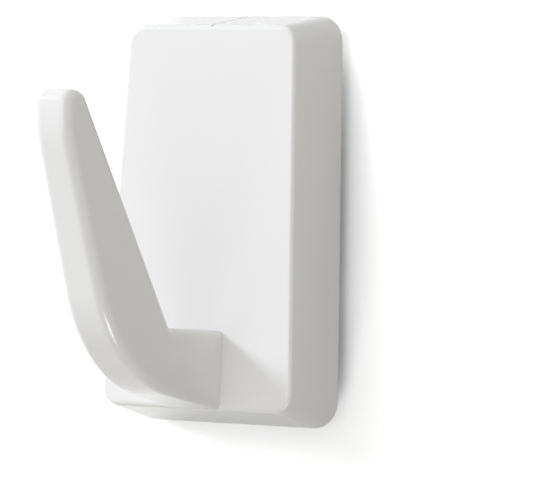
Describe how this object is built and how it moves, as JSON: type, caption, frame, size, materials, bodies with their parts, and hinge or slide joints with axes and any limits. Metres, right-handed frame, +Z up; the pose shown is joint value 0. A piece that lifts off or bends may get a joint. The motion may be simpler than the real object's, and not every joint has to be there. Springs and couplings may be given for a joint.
{
  "type": "adhesive wall hook",
  "caption": "White moulded wall hook: a tapered cover with an upswept arm slides down over a mounting plate that a stretch-release adhesive strip holds to the wall.",
  "frame": {"origin": "centre of the adhesive strip's sticky wall face", "axes": "+Y into the wall, +Z up, +X to the right for someone facing the hook; the hook reaches towards -Y"},
  "size_m": [0.0404, 0.0546, 0.0658],
  "materials": {
    "cover_plastic": "smooth gloss moulding",
    "plate_plastic": "fine matt moulding",
    "foam": "fine closed-cell foam",
    "adhesive": "tacky satin film",
    "tab_film": "satin film"
  },
  "bodies": {
    "wall_side": {"mounting_plate": "plate_plastic", "foam_core": "foam", "wall_adhesive": "adhesive", "plate_adhesive": "adhesive", "wall_tab_liner": "tab_film", "front_tab_liner": "tab_film"},
    "cover": {"hook_cover": "cover_plastic"}
  },
  "joints": [
    {"name": "cover_slide", "type": "slide", "parent": "wall_side", "child": "cover", "axis": [0, 0, 1], "range_m": [0, 0.007]}
  ]
}
